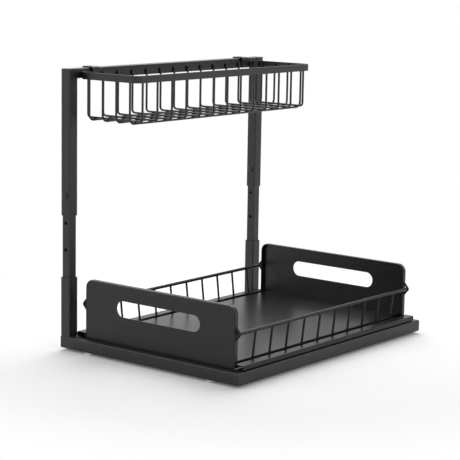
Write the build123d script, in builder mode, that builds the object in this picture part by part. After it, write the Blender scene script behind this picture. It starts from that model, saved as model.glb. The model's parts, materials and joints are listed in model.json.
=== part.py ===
"""Two-tier under sink organizer.

A welded tube base carries two telescopic posts on its left side. A crossbar joins the
posts and a wire basket hangs on it. A folded tray with wire fences pulls out of the base.
Front is -Y, where the tray comes out. The posts stand on the -X side. Z is up.
The origin is on the floor, under the middle of the base.
"""
from build123d import *
import os

os.makedirs("parts", exist_ok=True)

# Rods and small holes are many-sided rather than round
rod_sides = 8
hole_sides = 12

# Whole object
base_length = 400.0
base_width = 294.0
frame_height = 364.0
foot_height = 3.0

# Square tubes, each sliding inside the next
inner_tube = 12.5
inner_wall = 1.2
inner_corner = 0.9
tube_fit = 0.05
base_wall = 1.5
upper_wall = 1.2
outer_corner = 1.6

# Posts
socket_top = 96.0
inner_post_top = 288.0
post_lid = 1.5
lock_height = 202.0
lock_margin = 25.5
hole_pitch = 35.0
hole_diameter = 5.2
holes_below = 2
holes_above = 1

# Vent holes under the base tubes
vent_diameter = 4.0
vent_inset = 60.0

# Feet
foot_diameter = 15.0
foot_inset = 46.0

# Lock screws and nuts
screw_head_diameter = 8.6
screw_head_height = 2.4
screw_head_bevel = 1.1
screw_shank = 5.0
screw_gap = 0.3
nut_width = 8.0
nut_height = 2.6

# Tray sheet
tray_post_gap = 2.9
tray_edge_gap = 2.0
edge_gap = 0.5
tray_end_gap = 12.0
sheet = 1.2
bend = 0.5
strip_width = 14.0
strip_height = 5.4
strip_lip = 10.0
groove_width = 8.0
groove_depth = 4.5

# Handle panels
panel_gap = 0.3
panel_top = 96.0
panel_corner = 11.0
panel_flange = 6.5
slot_length = 137.0
slot_height = 21.0
slot_level = 65.8

# Fences
fence_wires = 10
fence_margin = 36.8
fence_wire = 2.4
fence_rail = 4.4
fence_flare = 5.0
fence_level = 62.5
weld_gap = 0.05
bracket_rod = 3.0
bracket_rise = 7.5
bracket_reach = 2.8

# Runners
runner_sheet = 1.5
runner_clearance = 0.3
runner_groove_gap = 2.0
runner_foot = 14.0
runner_head = 7.0
runner_side_gap = 0.8
slider_flange = 8.0
slider_end_gap = 8.0
runner_end_gap = 4.0

# Basket
basket_end_gap = 18.5
basket_depth = 99.0
basket_sink = 4.0
basket_height = 62.0
basket_gap = 0.3
band_height = 9.2
band_thickness = 2.0
band_corner = 9.0
basket_wire = 2.4
basket_bend = 8.0
chord_share = 1 - 0.5**0.5
weld_sink = 0.3
cross_wires = 13
cross_margin = 13.5
long_wires = 4
long_margin = 15.0
wire_end_drop = 1.5

# Basket hooks
hook_width = 12.5
hook_sheet = 1.5
hook_bend = 0.8
hook_inset = 27.5
hook_drop = 13.0
hook_gap = 0.3

# Cutting tools run past the faces they cut by this much
overrun = 2.0

# Sizes and places that follow
upper_post_bottom = lock_height - lock_margin
bore = inner_tube + tube_fit * 2
base_tube = bore + base_wall * 2
upper_tube = bore + upper_wall * 2
frame_top = foot_height + base_tube
foot_offset = base_width / 2 - foot_inset
post_x = (base_tube - base_width) / 2
post_y = (base_length - base_tube) / 2
tray_bottom = frame_top + runner_sheet + runner_clearance
tray_top = tray_bottom + strip_height
edge_bottom = frame_top + edge_gap
tray_end = base_length / 2 - tray_end_gap
panel_inside = tray_end - sheet
tray_left = base_tube - base_width / 2 + tray_post_gap
tray_right = base_width / 2 - tray_edge_gap
tray_offset = (tray_left + tray_right) / 2
tray_half = (tray_right - tray_left) / 2
strip_inner = tray_half - strip_width
groove_inner = strip_inner - groove_width
groove_floor = tray_top - groove_depth
panel_half = strip_inner - panel_gap
runner_offset = groove_inner - sheet - runner_groove_gap
runner_front = panel_inside - runner_side_gap
runner_top = frame_top + runner_sheet * 2 + runner_clearance * 2 + sheet
passage_height = runner_top + runner_side_gap - edge_bottom
fence_rise = fence_level - groove_floor
foot_line = strip_inner - weld_gap - fence_wire / 2 - fence_flare * groove_depth / fence_rise
rail_line = foot_line + fence_flare
bracket_line = tray_end - panel_flange / 2
fence_pitch = (tray_end - fence_margin) * 2 / (fence_wires - 1)
crossbar_front = post_x + inner_tube / 2
crossbar_back = post_x - inner_tube / 2
basket_back = crossbar_front + basket_gap
basket_middle = basket_back + basket_depth / 2
basket_length = base_length - basket_end_gap * 2
basket_top = frame_height - basket_sink
basket_bottom = basket_top - basket_height
cross_pitch = (basket_length - cross_margin * 2) / (cross_wires - 1)
long_pitch = (basket_depth - long_margin * 2) / (long_wires - 1)
hook_position = basket_length / 2 - hook_inset
ends = {"front": -1, "rear": 1}
sides = {"left": -1, "right": 1}
across = Plane(origin=(tray_offset, 0, 0), x_dir=(1, 0, 0), z_dir=(0, -1, 0))


def tube_profile(size, wall, corner):
    """Hollow square section on the sketch that is open."""
    RectangleRounded(size, size, corner)
    inside = size - wall * 2
    Rectangle(inside, inside, mode=Mode.SUBTRACT)


def save(builder, label):
    builder.part.label = label
    export_step(builder.part, "parts/" + label + ".step")


# Base ring: four tubes mitred at the corners, vented from below
ring_level = foot_height + base_tube / 2
with BuildPart() as base_ring:
    with BuildLine(Plane.XY.offset(ring_level)) as ring_path:
        Polyline(
            (post_x, -post_y),
            (-post_x, -post_y),
            (-post_x, post_y),
            (post_x, post_y),
            close=True,
        )
    with BuildSketch(Plane(origin=(0, -post_y, ring_level), x_dir=(0, 1, 0), z_dir=(1, 0, 0))):
        tube_profile(base_tube, base_wall, outer_corner)
    sweep(path=ring_path.wires()[0], transition=Transition.RIGHT)
    vent_x = -post_x - vent_inset
    with BuildSketch(Plane.XY.offset(foot_height)):
        with Locations((-vent_x, -post_y), (vent_x, -post_y), (-vent_x, post_y), (vent_x, post_y)):
            RegularPolygon(vent_diameter / 2, hole_sides)
    extrude(amount=base_wall + overrun, mode=Mode.SUBTRACT)
save(base_ring, "base_ring")


# Feet: low pads stuck under the front and rear tubes
def make_foot(x, y):
    with BuildPart() as foot_pad:
        with BuildSketch():
            with Locations((x, y)):
                Circle(foot_diameter / 2)
        extrude(amount=foot_height)
    return foot_pad


for side, x_sign in sides.items():
    for end, y_sign in ends.items():
        save(make_foot(x_sign * foot_offset, y_sign * post_y), "foot_pad_" + end + "_" + side)


# Post sockets: short tubes welded upright on the left corners of the ring
def make_socket(y):
    with BuildPart() as post_socket:
        with BuildSketch(Plane.XY.offset(frame_top)):
            with Locations((post_x, y)):
                tube_profile(base_tube, base_wall, outer_corner)
        extrude(amount=socket_top - frame_top)
    return post_socket


# Inner posts: thin tubes with a row of holes for the height setting
def make_inner_post(y):
    with BuildPart() as inner_post:
        with BuildSketch(Plane.XY.offset(frame_top)):
            with Locations((post_x, y)):
                tube_profile(inner_tube, inner_wall, inner_corner)
        extrude(amount=inner_post_top - frame_top)
        with BuildSketch(Plane(origin=(post_x, y, lock_height), x_dir=(1, 0, 0), z_dir=(0, -1, 0))):
            for step in range(-holes_below, holes_above + 1):
                with Locations((0, step * hole_pitch)):
                    RegularPolygon(hole_diameter / 2, hole_sides)
        extrude(amount=inner_tube, both=True, mode=Mode.SUBTRACT)
    return inner_post


# Upper posts: wider tubes that slide over the inner posts, closed at the top
def make_upper_post(y):
    with BuildPart() as upper_post:
        with BuildSketch(Plane.XY.offset(upper_post_bottom)):
            with Locations((post_x, y)):
                tube_profile(upper_tube, upper_wall, outer_corner)
        extrude(amount=frame_height - upper_post_bottom)
        with BuildSketch(Plane.XY.offset(frame_height - post_lid)):
            with Locations((post_x, y)):
                RectangleRounded(upper_tube, upper_tube, outer_corner)
        extrude(amount=post_lid)
        with BuildSketch(Plane(origin=(post_x, y, lock_height), x_dir=(1, 0, 0), z_dir=(0, -1, 0))):
            RegularPolygon(hole_diameter / 2, hole_sides)
        extrude(amount=upper_tube, both=True, mode=Mode.SUBTRACT)
    return upper_post


# Lock screws: round bevelled heads on the front face of each upper post
def make_lock_screw(y):
    face = y - upper_tube / 2
    shank = upper_wall + tube_fit - screw_gap
    with BuildPart() as lock_screw:
        with BuildSketch(Plane(origin=(post_x, face, lock_height), x_dir=(1, 0, 0), z_dir=(0, -1, 0))):
            Circle(screw_head_diameter / 2)
        extrude(amount=screw_head_height)
        chamfer(lock_screw.edges().group_by(Axis.Y)[0], screw_head_bevel)
        with BuildSketch(Plane(origin=(post_x, face, lock_height), x_dir=(1, 0, 0), z_dir=(0, -1, 0))):
            RegularPolygon(screw_shank / 2, hole_sides)
        extrude(amount=-shank)
    return lock_screw


# Lock nuts: six-sided, on the rear face of each upper post
def make_lock_nut(y):
    face = y + upper_tube / 2
    with BuildPart() as lock_nut:
        with BuildSketch(Plane(origin=(post_x, face, lock_height), x_dir=(1, 0, 0), z_dir=(0, 1, 0))):
            RegularPolygon(nut_width / 2, 6, major_radius=False)
            RegularPolygon(screw_shank / 2, hole_sides, mode=Mode.SUBTRACT)
        extrude(amount=nut_height)
    return lock_nut


for end, y_sign in ends.items():
    save(make_socket(y_sign * post_y), "post_socket_" + end)
    save(make_inner_post(y_sign * post_y), "inner_post_" + end)
    save(make_upper_post(y_sign * post_y), "upper_post_" + end)
    save(make_lock_screw(y_sign * post_y), "lock_screw_" + end)
    save(make_lock_nut(y_sign * post_y), "lock_nut_" + end)

# Crossbar: a thin tube between the tops of the upper posts
crossbar_level = frame_height - inner_tube / 2
with BuildPart() as crossbar:
    with BuildSketch(Plane(origin=(post_x, 0, crossbar_level), x_dir=(1, 0, 0), z_dir=(0, -1, 0))):
        tube_profile(inner_tube, inner_wall, inner_corner)
    extrude(amount=post_y - upper_tube / 2, both=True)
save(crossbar, "crossbar")


# Fixed runners: channels laid across the front and rear tubes, open to the middle
def make_fixed_runner(x_sign):
    low = frame_top + runner_sheet / 2
    high = frame_top + runner_sheet * 1.5 + runner_clearance * 2 + sheet
    web = x_sign * (runner_offset - runner_sheet / 2)
    with BuildPart() as runner:
        with BuildSketch(across.offset(runner_front)):
            with BuildLine():
                FilletPolyline(
                    (x_sign * (runner_offset - runner_foot), low),
                    (web, low),
                    (web, high),
                    (x_sign * (runner_offset - runner_head), high),
                    radius=runner_sheet,
                )
            trace(line_width=runner_sheet)
        extrude(amount=runner_end_gap - base_length / 2 - runner_front)
    return runner


# Tray sliders: stepped sheets under the plate, with their feet inside the fixed runners
def make_slider(x_sign):
    low = tray_bottom + sheet / 2
    high = tray_top - sheet * 1.5
    web = x_sign * (runner_offset - runner_head - runner_side_gap - sheet / 2)
    with BuildPart() as slider:
        with BuildSketch(across):
            with BuildLine():
                FilletPolyline(
                    (x_sign * (runner_offset - runner_sheet - runner_side_gap), low),
                    (web, low),
                    (web, high),
                    (web - x_sign * slider_flange, high),
                    radius=bend + sheet / 2,
                )
            trace(line_width=sheet)
        extrude(amount=tray_end - slider_end_gap, both=True)
    return slider


# Tray plate: one folded sheet. From the middle outward each long side drops into a
# groove, rises to the strip, turns down at the edge and returns under the strip.
half_fold = (
    (groove_inner - sheet / 2, tray_top - sheet / 2),
    (groove_inner - sheet / 2, groove_floor - sheet / 2),
    (strip_inner + sheet / 2, groove_floor - sheet / 2),
    (strip_inner + sheet / 2, tray_top - sheet / 2),
    (tray_half - sheet / 2, tray_top - sheet / 2),
    (tray_half - sheet / 2, edge_bottom + sheet / 2),
    (tray_half - strip_lip, edge_bottom + sheet / 2),
)
mirrored_fold = tuple((-x, z) for x, z in reversed(half_fold))
with BuildPart() as tray_plate:
    with BuildSketch(across):
        with BuildLine():
            FilletPolyline(*mirrored_fold, *half_fold, radius=bend + sheet / 2)
        trace(line_width=sheet)
    extrude(amount=tray_end, both=True)
    for y_sign in ends.values():
        with BuildSketch(Plane.XY.offset(tray_bottom - overrun)):
            with Locations((tray_offset, y_sign * (panel_inside + overrun))):
                Rectangle(strip_inner * 2, overrun * 2)
        extrude(amount=strip_height + overrun * 2, mode=Mode.SUBTRACT)
save(tray_plate, "tray_plate")


# Handle panels: pressed pans standing on the tray ends, flanges turned inward. The rear
# one is notched below, where it passes over the fixed runners.
def make_handle_panel(y_sign):
    outside = Plane(origin=(tray_offset, y_sign * tray_end, 0), x_dir=(y_sign, 0, 0), z_dir=(0, -y_sign, 0))
    with BuildPart() as handle_panel:
        with BuildSketch(outside) as outline:
            with Locations((0, (panel_top + edge_bottom) / 2)):
                Rectangle(panel_half * 2, panel_top - edge_bottom)
            fillet(outline.vertices().group_by(Axis.Y)[-1], panel_corner)
        extrude(amount=panel_flange)
        rim = handle_panel.faces().sort_by(Axis.Y)[0 if y_sign < 0 else -1].edges()
        fillet(rim.group_by(Axis.Z)[1:], bend + sheet)
        with BuildSketch(outside.offset(sheet)) as hollow:
            with Locations((0, (panel_top - sheet + edge_bottom - overrun) / 2)):
                Rectangle((panel_half - sheet) * 2, panel_top - sheet - edge_bottom + overrun)
            fillet(hollow.vertices().group_by(Axis.Y)[-1], panel_corner - sheet)
        extrude(amount=panel_flange, mode=Mode.SUBTRACT)
        with BuildSketch(outside.offset(sheet)):
            with Locations((0, groove_floor)):
                Rectangle(strip_inner * 2, panel_gap * 2)
            with Locations((0, edge_bottom)):
                Rectangle(strip_inner * 2, (groove_floor - edge_bottom) * 2)
        extrude(amount=panel_flange, mode=Mode.SUBTRACT)
        with BuildSketch(outside):
            with Locations((0, slot_level)):
                SlotOverall(slot_length, slot_height)
        extrude(amount=sheet, mode=Mode.SUBTRACT)
        if y_sign > 0:
            passage = runner_offset - runner_foot / 2
            with BuildSketch(outside):
                with Locations((-passage, edge_bottom), (passage, edge_bottom)):
                    Rectangle(runner_foot + runner_side_gap * 2, passage_height * 2)
            extrude(amount=sheet, mode=Mode.SUBTRACT)
    return handle_panel


for end, y_sign in ends.items():
    save(make_handle_panel(y_sign), "handle_panel_" + end)


# Fences: ten wires from the groove of the tray up to a straight rail, leaning outward.
# At both ends a bent rod joins the rail to the flange of the handle panel.
def make_fence(x_sign):
    lean = Vector(x_sign * fence_flare, 0, fence_rise)
    back = panel_half - bracket_rod
    apex = rail_line + bracket_reach
    slope = (apex - back) / (apex - panel_half)
    with BuildPart() as fence:
        for y_sign in ends.values():
            with BuildLine(across.offset(-y_sign * bracket_line)) as path:
                Polyline(
                    (x_sign * back, fence_level + bracket_rise * slope),
                    (x_sign * apex, fence_level),
                    (x_sign * back, fence_level - bracket_rise * slope),
                )
            with BuildSketch(Plane(origin=path.line @ 0, z_dir=path.line % 0)):
                RegularPolygon(bracket_rod / 2, rod_sides)
            sweep(path=path.wires()[0], transition=Transition.RIGHT)
        flange = Plane(origin=(tray_offset + x_sign * panel_half, 0, 0), z_dir=(x_sign, 0, 0))
        split(bisect_by=flange, keep=Keep.TOP)
        with BuildSketch(across):
            with Locations((x_sign * rail_line, fence_level)):
                RegularPolygon(fence_rail / 2, rod_sides)
        extrude(amount=bracket_line, both=True)
        with BuildSketch(Plane.XY.offset(groove_floor)):
            with Locations((tray_offset + x_sign * foot_line, 0)):
                with GridLocations(fence_pitch, fence_pitch, 1, fence_wires):
                    RegularPolygon(fence_wire / 2, rod_sides)
        extrude(amount=lean.length, dir=lean.normalized())
    return fence


for side, x_sign in sides.items():
    save(make_fixed_runner(x_sign), "fixed_runner_" + side)
    save(make_slider(x_sign), "tray_slider_" + side)
    save(make_fence(x_sign), "fence_" + side)

# Basket rim: a flat band bent round the top of the basket
with BuildPart() as basket_rim:
    with BuildSketch(Plane.XY.offset(basket_top - band_height)):
        with Locations((basket_middle, 0)):
            RectangleRounded(basket_depth, basket_length, band_corner)
            RectangleRounded(
                basket_depth - band_thickness * 2,
                basket_length - band_thickness * 2,
                band_corner - band_thickness,
                mode=Mode.SUBTRACT,
            )
    extrude(amount=band_height)
save(basket_rim, "basket_rim")


# Basket wires: each is a rod bent into a trough, its bends drawn as two chords. The long
# wires lie on the cross wires and sink into them where they are welded.
def make_trough_wire(plane, half_span, level):
    top = basket_top - wire_end_drop
    chord = basket_bend * chord_share
    half_path = (
        (half_span - basket_bend, level),
        (half_span - chord, level + chord),
        (half_span, level + basket_bend),
        (half_span, top),
    )
    with BuildPart() as wire:
        with BuildLine(plane) as path:
            Polyline(*((-x, z) for x, z in reversed(half_path)), *half_path)
        with BuildSketch(Plane(origin=path.line @ 0, z_dir=path.line % 0)):
            RegularPolygon(basket_wire / 2, rod_sides)
        sweep(path=path.wires()[0], transition=Transition.RIGHT)
    return wire


wire_inset = band_thickness + weld_gap + basket_wire / 2
cross_level = basket_bottom + basket_wire / 2
long_level = cross_level + basket_wire - weld_sink
cross_plane = Plane(origin=(basket_middle, 0, 0), x_dir=(1, 0, 0), z_dir=(0, -1, 0))
long_plane = Plane(origin=(basket_middle, 0, 0), x_dir=(0, 1, 0), z_dir=(1, 0, 0))
cross_wire = make_trough_wire(cross_plane, basket_depth / 2 - wire_inset, cross_level)
long_wire = make_trough_wire(long_plane, basket_length / 2 - wire_inset, long_level)
with BuildPart() as basket_wires:
    with GridLocations(cross_pitch, cross_pitch, 1, cross_wires):
        add(cross_wire.part)
    with GridLocations(long_pitch, long_pitch, long_wires, 1):
        add(long_wire.part)
save(basket_wires, "basket_wires")


# Basket hooks: folded clips over the crossbar, welded inside the rim
def make_hook(y):
    back_leg = crossbar_back - hook_gap - hook_sheet / 2
    front_leg = basket_back + band_thickness + weld_gap + hook_sheet / 2
    top = frame_height + hook_gap + hook_sheet / 2
    with BuildPart() as hook:
        with BuildSketch(Plane(origin=(0, y, 0), x_dir=(1, 0, 0), z_dir=(0, -1, 0))):
            with BuildLine():
                FilletPolyline(
                    (back_leg, frame_height - hook_drop),
                    (back_leg, top),
                    (front_leg, top),
                    (front_leg, basket_top - band_height),
                    radius=hook_bend + hook_sheet / 2,
                )
            trace(line_width=hook_sheet)
        extrude(amount=hook_width / 2, both=True)
    return hook


for end, y_sign in ends.items():
    save(make_hook(y_sign * hook_position), "basket_hook_" + end)
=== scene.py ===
import json
import math
import random
import bmesh
import bpy
from mathutils import Matrix, Vector, noise


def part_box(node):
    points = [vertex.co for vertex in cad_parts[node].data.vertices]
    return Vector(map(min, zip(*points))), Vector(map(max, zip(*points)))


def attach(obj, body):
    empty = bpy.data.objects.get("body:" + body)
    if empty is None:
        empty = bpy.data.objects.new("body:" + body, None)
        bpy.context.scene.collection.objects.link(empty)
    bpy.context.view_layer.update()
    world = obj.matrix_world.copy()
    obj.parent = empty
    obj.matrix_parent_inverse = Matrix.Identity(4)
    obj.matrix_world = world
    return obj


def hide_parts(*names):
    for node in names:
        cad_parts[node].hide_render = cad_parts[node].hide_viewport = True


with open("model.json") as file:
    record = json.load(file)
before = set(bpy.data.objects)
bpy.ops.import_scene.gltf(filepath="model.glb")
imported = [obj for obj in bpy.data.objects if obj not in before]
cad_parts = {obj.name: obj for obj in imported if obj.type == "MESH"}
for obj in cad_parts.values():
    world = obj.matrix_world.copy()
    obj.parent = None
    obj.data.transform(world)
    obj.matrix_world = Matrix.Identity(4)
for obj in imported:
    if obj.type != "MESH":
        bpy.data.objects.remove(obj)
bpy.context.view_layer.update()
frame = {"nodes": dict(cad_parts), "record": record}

SEED = 7
scene = bpy.context.scene
nodes = frame["nodes"]
random.seed(SEED)

# View: the photograph's frame is square, and its camera stands to the right of the front
IMAGE_WIDTH = 460
SENSOR_WIDTH = 36.0
FOCAL_PIXELS = 1650.8
CAMERA_AZIMUTH = math.radians(38.507)
CAMERA_ELEVATION = math.radians(9.555)
CAMERA_ROLL = math.radians(0.99)
CAMERA_PLACE = (1.3218, -1.6974, 0.5123)

# Wires and rods, in metres
WIRE = 0.0029
RAIL = 0.0044
BRACKET_ROD = 0.003
BEND_STEPS = 8
ROD_ROUND = 4

# Basket wires: how they bend, cross and end
BASKET_HEIGHT = 0.062
LONG_BEND = 0.008
CROSS_BEND = 0.0045
RIM_INSET = 0.00325
WIRE_END_DROP = 0.0015
BAND_HEIGHT = 0.0092
WELD_SINK = 0.0003
CROSS_WIRES = 13
CROSS_PITCH = 0.028
LONG_WIRES = 4
LONG_PITCH = 0.023

# Fences: where their wires stand and how their brackets bend
TRAY_MIDDLE = 0.00825
FENCE_WIRES = 10
FENCE_PITCH = 0.0336
FENCE_FOOT = 0.12096
FENCE_FLARE = 0.005
FENCE_LEVEL = 0.0625
GROOVE_FLOOR = 0.0213
PANEL_HALF = 0.12245
BRACKET_LINE = 0.18475
BRACKET_RISE = 0.0075
BRACKET_REACH = 0.0028
BRACKET_BEND = 0.0012
BRACKET_SINK = 0.0006

# Weld beads: their size, their lumps, and how each kind is stretched along X, Y and Z
BEAD = 0.0011
BEAD_LUMP = 0.18
BEAD_LUMP_SCALE = 900.0
BEAD_DETAIL = 2
BEAD_SINK = 0.3
SIDE_BEAD = (0.7, 1.5, 1.2)
END_BEAD = (1.5, 0.7, 1.2)
CROSSING_BEAD = (1.25, 1.25, 0.7)
FOOT_BEAD = (1.6, 1.6, 0.7)
RAIL_BEAD = (1.3, 1.6, 0.8)
BRACKET_BEAD = (0.8, 1.9, 1.9)

# Weld seams
SEAM = 0.0013
SEAM_STEP = 0.0012
SEAM_RIPPLE = 0.3
SEAM_TUCK = 0.0006

# Screw heads: shares of the head's radius and height, then the cross recess in metres
HEAD_STEPS = 44
HEAD_FLAT = 0.35
HEAD_DROP = 0.62
HEAD_CURVE = 2.6
RECESS_ARM = 0.0025
RECESS_HALF = 0.0006
RECESS_DEPTH = 0.0015
RECESS_WALL = 0.00018
RECESS_END_SHARE = 0.55

# Screw threads
THREAD_PITCH = 0.0008
THREAD_STEPS = 4
THREAD_ROUND = 24
THREAD_RADIUS = 0.00205
THREAD_DEPTH = 0.0003

# Colours, linear
COAT = (0.0042, 0.0043, 0.0044, 1.0)
COAT_WORN = (0.03, 0.031, 0.032, 1.0)
STEEL = (0.03, 0.03, 0.031, 1.0)
STEEL_WORN = (0.16, 0.16, 0.165, 1.0)
PAD = (0.72, 0.73, 0.72, 1.0)
BLACK = (0.0, 0.0, 0.0, 1.0)
WHITE = (1.0, 1.0, 1.0, 1.0)
FLOOR = (0.92, 0.92, 0.92, 1.0)

# Powder coat: tint clouds, rubbed edges, dust, patches of gloss, and two grains.
# Scales are in places per metre, heights in metres.
CLOUD_SCALE = 24.0
CLOUD_DETAIL = 4.0
CLOUD_LOW = 0.35
CLOUD_HIGH = 0.68
CLOUD_DARK = 0.8
CLOUD_LIGHT = 1.3
EDGE_LOW = 0.53
EDGE_HIGH = 0.60
RUB_SCALE = 140.0
RUB_DETAIL = 3.0
DUST_SCALE = 2600.0
DUST_DETAIL = 1.0
DUST_LOW = 0.70
DUST_HIGH = 0.78
DUST_SHARE = 0.15
PATCH_SCALE = 60.0
PATCH_DETAIL = 3.0
PATCH_MIX = 0.6
NOISE_LOW = 0.3
NOISE_HIGH = 0.7
PEEL_SCALE = 900.0
PEEL_HEIGHT = 0.00006
GRAIN_SCALE = 3600.0
GRAIN_HEIGHT = 0.00002
GRAIN_DETAIL = 2.0
GRAIN_SHARE = 0.6
EDGE_ROUND = 0.0004
EDGE_SAMPLES = 4
SMOOTH_ANGLE = math.radians(32)


def add_node(tree, kind, **values):
    node = tree.nodes.new(kind)
    for key, value in values.items():
        setattr(node, key, value)
    return node


def powder_coat(name, base, worn, rough, rough_spread=0.05, grain=0.5, wear=0.4, shine=0.5):
    """Powder-coated steel: orange-peel bump, cloudy tint and roughness, rubbed edges."""
    mat = bpy.data.materials.new(name)
    mat.use_nodes = True
    tree = mat.node_tree
    shader = tree.nodes["Principled BSDF"]
    place = add_node(tree, "ShaderNodeTexCoord").outputs["Object"]

    def speckle(scale, detail, mix=0.5):
        node = add_node(tree, "ShaderNodeTexNoise")
        node.inputs["Scale"].default_value = scale
        node.inputs["Detail"].default_value = detail
        node.inputs["Roughness"].default_value = mix
        tree.links.new(place, node.inputs["Vector"])
        return node.outputs["Fac"]

    def ramp(source, low, high, low_colour, high_colour):
        node = add_node(tree, "ShaderNodeValToRGB")
        node.color_ramp.elements[0].position = low
        node.color_ramp.elements[0].color = low_colour
        node.color_ramp.elements[1].position = high
        node.color_ramp.elements[1].color = high_colour
        tree.links.new(source, node.inputs["Fac"])
        return node.outputs["Color"]

    def spread(source, low, high):
        node = add_node(tree, "ShaderNodeMapRange")
        node.inputs["From Min"].default_value = NOISE_LOW
        node.inputs["From Max"].default_value = NOISE_HIGH
        node.inputs["To Min"].default_value = low
        node.inputs["To Max"].default_value = high
        tree.links.new(source, node.inputs["Value"])
        return node.outputs["Result"]

    def product(first, second):
        node = add_node(tree, "ShaderNodeMath", operation="MULTIPLY")
        tree.links.new(first, node.inputs[0])
        tree.links.new(second, node.inputs[1])
        return node.outputs["Value"]

    def worn_over(under, share):
        node = add_node(tree, "ShaderNodeMixRGB")
        node.inputs["Color2"].default_value = worn
        tree.links.new(share, node.inputs["Fac"])
        tree.links.new(under, node.inputs["Color1"])
        return node.outputs["Color"]

    def bumps(under, scale, height, strength):
        node = add_node(tree, "ShaderNodeBump")
        node.inputs["Strength"].default_value = strength
        node.inputs["Distance"].default_value = height
        tree.links.new(speckle(scale, GRAIN_DETAIL), node.inputs["Height"])
        tree.links.new(under, node.inputs["Normal"])
        return node.outputs["Normal"]

    dark = [c * CLOUD_DARK for c in base[:3]] + [1.0]
    light = [c * CLOUD_LIGHT for c in base[:3]] + [1.0]
    tint = ramp(speckle(CLOUD_SCALE, CLOUD_DETAIL), CLOUD_LOW, CLOUD_HIGH, dark, light)
    edge = add_node(tree, "ShaderNodeNewGeometry").outputs["Pointiness"]
    edge_share = ramp(edge, EDGE_LOW, EDGE_HIGH, BLACK, (wear, wear, wear, 1.0))
    rubbed = worn_over(tint, product(edge_share, speckle(RUB_SCALE, RUB_DETAIL)))
    dust_most = (DUST_SHARE, DUST_SHARE, DUST_SHARE, 1.0)
    dust = ramp(speckle(DUST_SCALE, DUST_DETAIL), DUST_LOW, DUST_HIGH, BLACK, dust_most)
    tree.links.new(worn_over(rubbed, dust), shader.inputs["Base Color"])

    patches = speckle(PATCH_SCALE, PATCH_DETAIL, PATCH_MIX)
    gloss = spread(patches, rough - rough_spread, rough + rough_spread)
    tree.links.new(gloss, shader.inputs["Roughness"])
    shader.inputs["Specular IOR Level"].default_value = shine

    corner = add_node(tree, "ShaderNodeBevel", samples=EDGE_SAMPLES)
    corner.inputs["Radius"].default_value = EDGE_ROUND
    peel = bumps(corner.outputs["Normal"], PEEL_SCALE, PEEL_HEIGHT, grain)
    fine = bumps(peel, GRAIN_SCALE, GRAIN_HEIGHT, grain * GRAIN_SHARE)
    tree.links.new(fine, shader.inputs["Normal"])
    return mat


materials = {
    "frame_coat": powder_coat("frame_powder_coat", COAT, COAT_WORN, 0.42),
    "inner_post_coat": powder_coat("inner_post_powder_coat", COAT, COAT_WORN, 0.38),
    "sheet_coat": powder_coat(
        "sheet_powder_coat", COAT, COAT_WORN, 0.32, rough_spread=0.02, grain=0.05, shine=0.40,
    ),
    "wire_coat": powder_coat(
        "wire_powder_coat", COAT, COAT_WORN, 0.31, rough_spread=0.03, grain=0.3,
    ),
    "runner_coat": powder_coat("runner_powder_coat", COAT, COAT_WORN, 0.42),
    "blackened_fasteners": powder_coat("blackened_steel", STEEL, STEEL_WORN, 0.33, grain=0.2),
    "foot_plastic": powder_coat("pad_plastic", PAD, WHITE, 0.5, grain=0.2, wear=0.0),
}
plate_coat = powder_coat(
    "plate_powder_coat", COAT, COAT_WORN, 0.29, rough_spread=0.01, grain=0.03, shine=0.26,
)
fence_coat = powder_coat("fence_powder_coat", COAT, COAT_WORN, 0.36, grain=0.3, shine=0.3)
slots = {row["node"]: row["material_slot"] for row in frame["record"]["subparts"]}
for name, obj in nodes.items():
    obj.data.materials.clear()
    obj.data.materials.append(plate_coat if name == "tray_plate" else materials[slots[name]])
    obj.data.polygons.foreach_set("use_smooth", [True] * len(obj.data.polygons))
    obj.data.set_sharp_from_angle(angle=SMOOTH_ANGLE)


def finish_piece(obj, body, slot_name, replaced=(), coat=None):
    obj.data.materials.append(coat or materials[slot_name])
    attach(obj, body)
    if replaced:
        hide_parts(*replaced)


def mesh_object(name, mesh, smooth):
    data = bpy.data.meshes.new(name)
    mesh.to_mesh(data)
    mesh.free()
    data.polygons.foreach_set("use_smooth", [smooth] * len(data.polygons))
    obj = bpy.data.objects.new(name, data)
    scene.collection.objects.link(obj)
    return obj


def node_box(name):
    return [Vector(corner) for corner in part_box(name)]


def rounded(points, radius):
    """The route with every inner corner turned into an arc."""
    points = [Vector(p) for p in points]
    route = [points[0]]
    for before, corner, after in zip(points, points[1:], points[2:]):
        to_start = (before - corner).normalized()
        to_end = (after - corner).normalized()
        half_angle = to_start.angle(to_end) / 2
        centre = corner + (to_start + to_end).normalized() * (radius / math.sin(half_angle))
        first = corner + to_start * (radius / math.tan(half_angle)) - centre
        last = corner + to_end * (radius / math.tan(half_angle)) - centre
        for step in range(BEND_STEPS + 1):
            route.append(centre + first.slerp(last, step / BEND_STEPS).normalized() * radius)
    route.append(points[-1])
    return route


def rods(name, groups, body, slot_name, replaced=(), ripple=0.0, coat=None):
    """One object of round rods: groups is a list of (route, diameter)."""
    widest = groups[0][1]
    curve = bpy.data.curves.new(name, "CURVE")
    curve.dimensions = "3D"
    curve.bevel_mode = "ROUND"
    curve.bevel_depth = widest / 2
    curve.bevel_resolution = ROD_ROUND
    curve.use_fill_caps = True
    for route, diameter in groups:
        spline = curve.splines.new("POLY")
        spline.points.add(len(route) - 1)
        for point, place in zip(spline.points, route):
            point.co = (*place, 1.0)
            point.radius = diameter / widest * (1.0 + random.uniform(-ripple, ripple))
        spline.use_smooth = True
    obj = bpy.data.objects.new(name, curve)
    scene.collection.objects.link(obj)
    finish_piece(obj, body, slot_name, replaced, coat)


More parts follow.
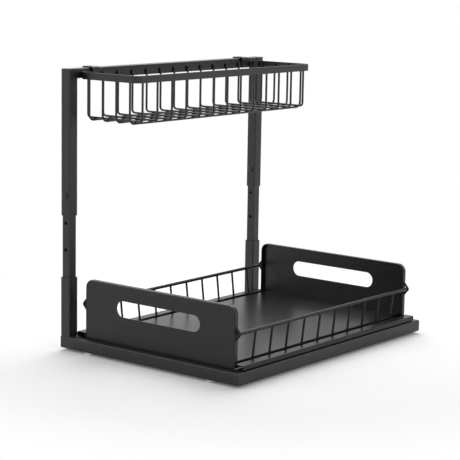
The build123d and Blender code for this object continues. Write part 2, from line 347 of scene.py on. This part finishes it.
def beads(name, places, body, slot_name, coat=None):
    """Small lumpy weld beads; places are (centre, stretch) pairs."""
    mesh = bmesh.new()
    for centre, stretch in places:
        made = bmesh.ops.create_icosphere(mesh, subdivisions=BEAD_DETAIL, radius=BEAD)["verts"]
        for vert in made:
            lump = 1.0 + BEAD_LUMP * noise.noise((Vector(centre) + vert.co) * BEAD_LUMP_SCALE)
            vert.co = Vector(centre) + Vector(v * s * lump for v, s in zip(vert.co, stretch))
    finish_piece(mesh_object(name, mesh, True), body, slot_name, (), coat)


# Basket wires: troughs hung from the band, the cross ones lying on the long ones
rim_low, rim_high = node_box("basket_rim")
rim_top = rim_high.z
basket_middle = (rim_low + rim_high) / 2
half_depth = (rim_high.x - rim_low.x) / 2 - RIM_INSET
half_length = (rim_high.y - rim_low.y) / 2 - RIM_INSET
wire_top = rim_top - WIRE_END_DROP
bead_level = rim_top - BAND_HEIGHT + BEAD
long_level = rim_top - BASKET_HEIGHT + WIRE / 2
cross_level = long_level + WIRE - WELD_SINK
cross_places = [(i - (CROSS_WIRES - 1) / 2) * CROSS_PITCH for i in range(CROSS_WIRES)]
long_places = [basket_middle.x + (i - (LONG_WIRES - 1) / 2) * LONG_PITCH for i in range(LONG_WIRES)]
side_places = (basket_middle.x - half_depth, basket_middle.x + half_depth)
basket_routes = []
basket_beads = []
for y in cross_places:
    basket_routes.append((rounded([
        (side_places[0], y, wire_top), (side_places[0], y, cross_level),
        (side_places[1], y, cross_level), (side_places[1], y, wire_top),
    ], CROSS_BEND), WIRE))
    for x, outward in zip(side_places, (-1, 1)):
        basket_beads.append(((x + outward * BEAD, y, bead_level), SIDE_BEAD))
for x in long_places:
    basket_routes.append((rounded([
        (x, -half_length, wire_top), (x, -half_length, long_level),
        (x, half_length, long_level), (x, half_length, wire_top),
    ], LONG_BEND), WIRE))
    for outward in (-1, 1):
        basket_beads.append(((x, outward * (half_length + BEAD), bead_level), END_BEAD))
    for y in cross_places:
        basket_beads.append(((x, y, (cross_level + long_level) / 2), CROSSING_BEAD))
rods("basket_wire_rods", basket_routes, "basket", "wire_coat", ["basket_wires"])
beads("basket_weld_beads", basket_beads, "basket", "wire_coat")

# Fences: a leaning row of wires, a rail, and a bent bracket at each end
for side, x_sign in (("left", -1), ("right", 1)):
    foot_x = TRAY_MIDDLE + x_sign * FENCE_FOOT
    rail_x = foot_x + x_sign * FENCE_FLARE
    apex_x = rail_x + x_sign * BRACKET_REACH
    start_x = TRAY_MIDDLE + x_sign * (PANEL_HALF - BRACKET_SINK)
    edge_x = TRAY_MIDDLE + x_sign * PANEL_HALF
    start_rise = BRACKET_RISE * (apex_x - start_x) / (apex_x - edge_x)
    rail_ends = [Vector((rail_x, y, FENCE_LEVEL)) for y in (-BRACKET_LINE, BRACKET_LINE)]
    fence_routes = [(rail_ends, RAIL)]
    fence_beads = []
    for i in range(FENCE_WIRES):
        y = (i - (FENCE_WIRES - 1) / 2) * FENCE_PITCH
        foot = Vector((foot_x, y, GROOVE_FLOOR))
        head = Vector((rail_x, y, FENCE_LEVEL))
        fence_routes.append(([foot, head], WIRE))
        fence_beads.append(((foot_x, y, GROOVE_FLOOR + BEAD * BEAD_SINK), FOOT_BEAD))
        fence_beads.append(((rail_x - x_sign * BEAD * BEAD_SINK, y, FENCE_LEVEL - RAIL / 2), RAIL_BEAD))
    for y in (-BRACKET_LINE, BRACKET_LINE):
        fence_routes.append((rounded([
            (start_x, y, FENCE_LEVEL + start_rise),
            (apex_x, y, FENCE_LEVEL),
            (start_x, y, FENCE_LEVEL - start_rise),
        ], BRACKET_BEND), BRACKET_ROD))
        for rise in (-BRACKET_RISE, BRACKET_RISE):
            fence_beads.append(((edge_x, y, FENCE_LEVEL + rise), BRACKET_BEAD))
    rods("fence_rods_" + side, fence_routes, "tray", "wire_coat", ["fence_" + side], coat=fence_coat)
    beads("fence_weld_beads_" + side, fence_beads, "tray", "wire_coat", coat=fence_coat)


# Lock screws: pan heads with a cross recess
def head_height(x, z, radius, height):
    """Height of the head's surface over the post's face, at x and z from the middle."""
    reach = math.hypot(x, z)
    fall = max(0.0, (reach / radius - HEAD_FLAT) / (1.0 - HEAD_FLAT))
    dome = height * (1.0 - HEAD_DROP * fall ** HEAD_CURVE)
    beside = max(min(abs(x), abs(z)) - RECESS_HALF, 0.0)
    beyond = max(max(abs(x), abs(z)) - RECESS_ARM, 0.0)
    wall = min(1.0, math.hypot(beside, beyond) / RECESS_WALL)
    inward = 1.0 - min(1.0, reach / RECESS_ARM)
    depth = RECESS_DEPTH * (RECESS_END_SHARE + (1.0 - RECESS_END_SHARE) * inward)
    return dome - depth * (1.0 - wall)


for end in ("front", "rear"):
    low, high = node_box("lock_screw_" + end)
    centre = (low + high) / 2
    radius = (high.x - low.x) / 2
    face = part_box("upper_post_" + end)[0][1]
    mesh = bmesh.new()
    grid = {}
    for i in range(HEAD_STEPS + 1):
        for j in range(HEAD_STEPS + 1):
            u = 2.0 * i / HEAD_STEPS - 1.0
            v = 2.0 * j / HEAD_STEPS - 1.0
            x = radius * u * math.sqrt(1.0 - v * v / 2)
            z = radius * v * math.sqrt(1.0 - u * u / 2)
            y = face - head_height(x, z, radius, face - low.y)
            grid[i, j] = mesh.verts.new((centre.x + x, y, centre.z + z))
    for i in range(HEAD_STEPS):
        for j in range(HEAD_STEPS):
            mesh.faces.new((grid[i, j], grid[i + 1, j], grid[i + 1, j + 1], grid[i, j + 1]))
    border = [edge for edge in mesh.edges if edge.is_boundary]
    made = bmesh.ops.extrude_edge_only(mesh, edges=border)["geom"]
    for vert in (g for g in made if isinstance(g, bmesh.types.BMVert)):
        vert.co.y = face
    bmesh.ops.recalc_face_normals(mesh, faces=mesh.faces)
    head = mesh_object("screw_head_" + end, mesh, True)
    head.data.set_sharp_from_angle(angle=SMOOTH_ANGLE)
    finish_piece(head, "upper_frame", "blackened_fasteners", ["lock_screw_" + end])

# Threaded screw ends inside the lock nuts
for end in ("front", "rear"):
    low, high = node_box("lock_nut_" + end)
    centre = (low + high) / 2
    mesh = bmesh.new()
    steps = int((high.y - low.y) / THREAD_PITCH * THREAD_STEPS)
    rings = []
    for k in range(steps + 1):
        y = low.y + (high.y - low.y) * k / steps
        tip = THREAD_DEPTH if k == steps else 0.0
        ring = []
        for i in range(THREAD_ROUND):
            angle = 2 * math.pi * i / THREAD_ROUND
            ridge = abs(((k / THREAD_STEPS + i / THREAD_ROUND) % 1.0) - 0.5) * 2
            r = THREAD_RADIUS + THREAD_DEPTH * ridge - tip
            ring.append(mesh.verts.new((centre.x + r * math.cos(angle), y, centre.z + r * math.sin(angle))))
        rings.append(ring)
    for first, second in zip(rings, rings[1:]):
        for i in range(THREAD_ROUND):
            j = (i + 1) % THREAD_ROUND
            mesh.faces.new((first[i], first[j], second[j], second[i]))
    mesh.faces.new(rings[-1])
    bmesh.ops.recalc_face_normals(mesh, faces=mesh.faces)
    finish_piece(mesh_object("screw_end_" + end, mesh, False), "upper_frame", "blackened_fasteners")


# Weld seams: sockets on the ring, crossbar on the posts
def seam(name, corners, body, slot_name):
    """A wavy fillet bead along a route."""
    corners = [Vector(corner) for corner in corners]
    route = []
    for a, b in zip(corners, corners[1:]):
        steps = max(2, round((b - a).length / SEAM_STEP))
        for k in range(steps):
            route.append(a.lerp(b, k / steps))
    route.append(corners[-1])
    rods(name, [(route, SEAM)], body, slot_name, ripple=SEAM_RIPPLE)


ring_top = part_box("base_ring")[1][2]
for end, y_sign in (("front", -1), ("rear", 1)):
    low, high = node_box("post_socket_" + end)
    inner_y = high.y if y_sign < 0 else low.y
    outer_y = low.y if y_sign < 0 else high.y
    seam("socket_seam_" + end, [
        (high.x, outer_y - y_sign * SEAM, ring_top),
        (high.x, inner_y, ring_top),
        (low.x + SEAM, inner_y, ring_top),
    ], "base", "frame_coat")
bar_low, bar_high = node_box("crossbar")
seam_top = bar_high.z - SEAM_TUCK
for end, y in (("front", bar_low.y), ("rear", bar_high.y)):
    seam("crossbar_seam_" + end, [
        (bar_low.x, y, bar_low.z), (bar_low.x, y, seam_top),
        (bar_high.x, y, seam_top), (bar_high.x, y, bar_low.z), (bar_low.x, y, bar_low.z),
    ], "upper_frame", "frame_coat")

# Floor: white, lit near the object so that it takes the shadow, and plain white far away
FLOOR_HALF = 6.0
FLOOR_CELLS = 8
FLOOR_ROUGHNESS = 0.9
FLOOR_LIFT = 0.10
LIT_RADIUS = 0.33
WHITE_RADIUS = 0.55
floor_mesh = bmesh.new()
bmesh.ops.create_grid(floor_mesh, x_segments=FLOOR_CELLS, y_segments=FLOOR_CELLS, size=FLOOR_HALF)
floor = mesh_object("studio_floor", floor_mesh, False)
floor_mat = bpy.data.materials.new("studio_floor")
floor_mat.use_nodes = True
ground = floor_mat.node_tree
floor_shader = ground.nodes["Principled BSDF"]
floor_shader.inputs["Base Color"].default_value = FLOOR
floor_shader.inputs["Roughness"].default_value = FLOOR_ROUGHNESS
floor_shader.inputs["Specular IOR Level"].default_value = 0.0
path = add_node(ground, "ShaderNodeLightPath")
seen = add_node(ground, "ShaderNodeMath", operation="MAXIMUM")
ground.links.new(path.outputs["Is Camera Ray"], seen.inputs[0])
ground.links.new(path.outputs["Is Glossy Ray"], seen.inputs[1])
lift_level = add_node(ground, "ShaderNodeMath", operation="MULTIPLY")
lift_level.inputs[1].default_value = FLOOR_LIFT
ground.links.new(path.outputs["Is Camera Ray"], lift_level.inputs[0])
lift = add_node(ground, "ShaderNodeEmission")
lift.inputs["Color"].default_value = WHITE
ground.links.new(lift_level.outputs["Value"], lift.inputs["Strength"])
lifted = add_node(ground, "ShaderNodeAddShader")
ground.links.new(floor_shader.outputs["BSDF"], lifted.inputs[0])
ground.links.new(lift.outputs["Emission"], lifted.inputs[1])
plain = add_node(ground, "ShaderNodeEmission")
plain.inputs["Color"].default_value = WHITE
ground.links.new(seen.outputs["Value"], plain.inputs["Strength"])
distance = add_node(ground, "ShaderNodeVectorMath", operation="LENGTH")
ground.links.new(add_node(ground, "ShaderNodeTexCoord").outputs["Object"], distance.inputs[0])
far = add_node(ground, "ShaderNodeMapRange", interpolation_type="SMOOTHSTEP")
far.inputs["From Min"].default_value = LIT_RADIUS
far.inputs["From Max"].default_value = WHITE_RADIUS
ground.links.new(distance.outputs["Value"], far.inputs["Value"])
blend = add_node(ground, "ShaderNodeMixShader")
ground.links.new(far.outputs["Result"], blend.inputs["Fac"])
ground.links.new(lifted.outputs["Shader"], blend.inputs[1])
ground.links.new(plain.outputs["Emission"], blend.inputs[2])
ground.links.new(blend.outputs["Shader"], ground.nodes["Material Output"].inputs["Surface"])
floor.data.materials.append(floor_mat)

# World: white to the camera and in reflections, dimmer as a light
WORLD_LIGHT = 0.45
world = bpy.data.worlds.new("studio")
scene.world = world
world.use_nodes = True
sky = world.node_tree
background = sky.nodes["Background"]
background.inputs["Color"].default_value = WHITE
sky_path = add_node(sky, "ShaderNodeLightPath")
shown = add_node(sky, "ShaderNodeMath", operation="MAXIMUM")
sky.links.new(sky_path.outputs["Is Camera Ray"], shown.inputs[0])
sky.links.new(sky_path.outputs["Is Transmission Ray"], shown.inputs[1])
mirrored = add_node(sky, "ShaderNodeMath", operation="MAXIMUM")
sky.links.new(shown.outputs["Value"], mirrored.inputs[0])
sky.links.new(sky_path.outputs["Is Glossy Ray"], mirrored.inputs[1])
level = add_node(sky, "ShaderNodeMapRange")
level.inputs["To Min"].default_value = WORLD_LIGHT
level.inputs["To Max"].default_value = 1.0
sky.links.new(mirrored.outputs["Value"], level.inputs["Value"])
sky.links.new(level.outputs["Result"], background.inputs["Strength"])

# Soft lights, in watts
LIGHT_SIZE = 1.2
FLOOR_AIM = (0.0, 0.0, 0.0)
MIDDLE_AIM = (0.0, 0.0, 0.15)


def softbox(name, place, aim, power):
    light = bpy.data.lights.new(name, "AREA")
    light.shape = "SQUARE"
    light.size = LIGHT_SIZE
    light.energy = power
    obj = bpy.data.objects.new(name, light)
    scene.collection.objects.link(obj)
    obj.location = place
    obj.rotation_euler = (Vector(aim) - Vector(place)).to_track_quat("-Z", "Y").to_euler()


softbox("top_softbox", (-0.5, 0.6, 1.3), FLOOR_AIM, 17.0)
softbox("left_softbox", (-1.5, -1.6, 1.1), MIDDLE_AIM, 6.0)
softbox("right_softbox", (1.9, -0.6, 1.0), MIDDLE_AIM, 4.0)

# Camera
right = Vector((math.cos(CAMERA_AZIMUTH), math.sin(CAMERA_AZIMUTH), 0.0))
back = Vector((
    math.sin(CAMERA_AZIMUTH) * math.cos(CAMERA_ELEVATION),
    -math.cos(CAMERA_AZIMUTH) * math.cos(CAMERA_ELEVATION),
    math.sin(CAMERA_ELEVATION),
))
up = back.cross(right)
rolled_right = math.cos(CAMERA_ROLL) * right + math.sin(CAMERA_ROLL) * up
rolled_up = back.cross(rolled_right)
camera_data = bpy.data.cameras.new("photo_camera")
camera_data.sensor_width = SENSOR_WIDTH
camera_data.lens = FOCAL_PIXELS * SENSOR_WIDTH / IMAGE_WIDTH
camera = bpy.data.objects.new("photo_camera", camera_data)
scene.collection.objects.link(camera)
turn = Matrix((rolled_right, rolled_up, back)).transposed().to_4x4()
camera.matrix_world = Matrix.Translation(CAMERA_PLACE) @ turn
scene.camera = camera
scene.view_settings.view_transform = "Standard"
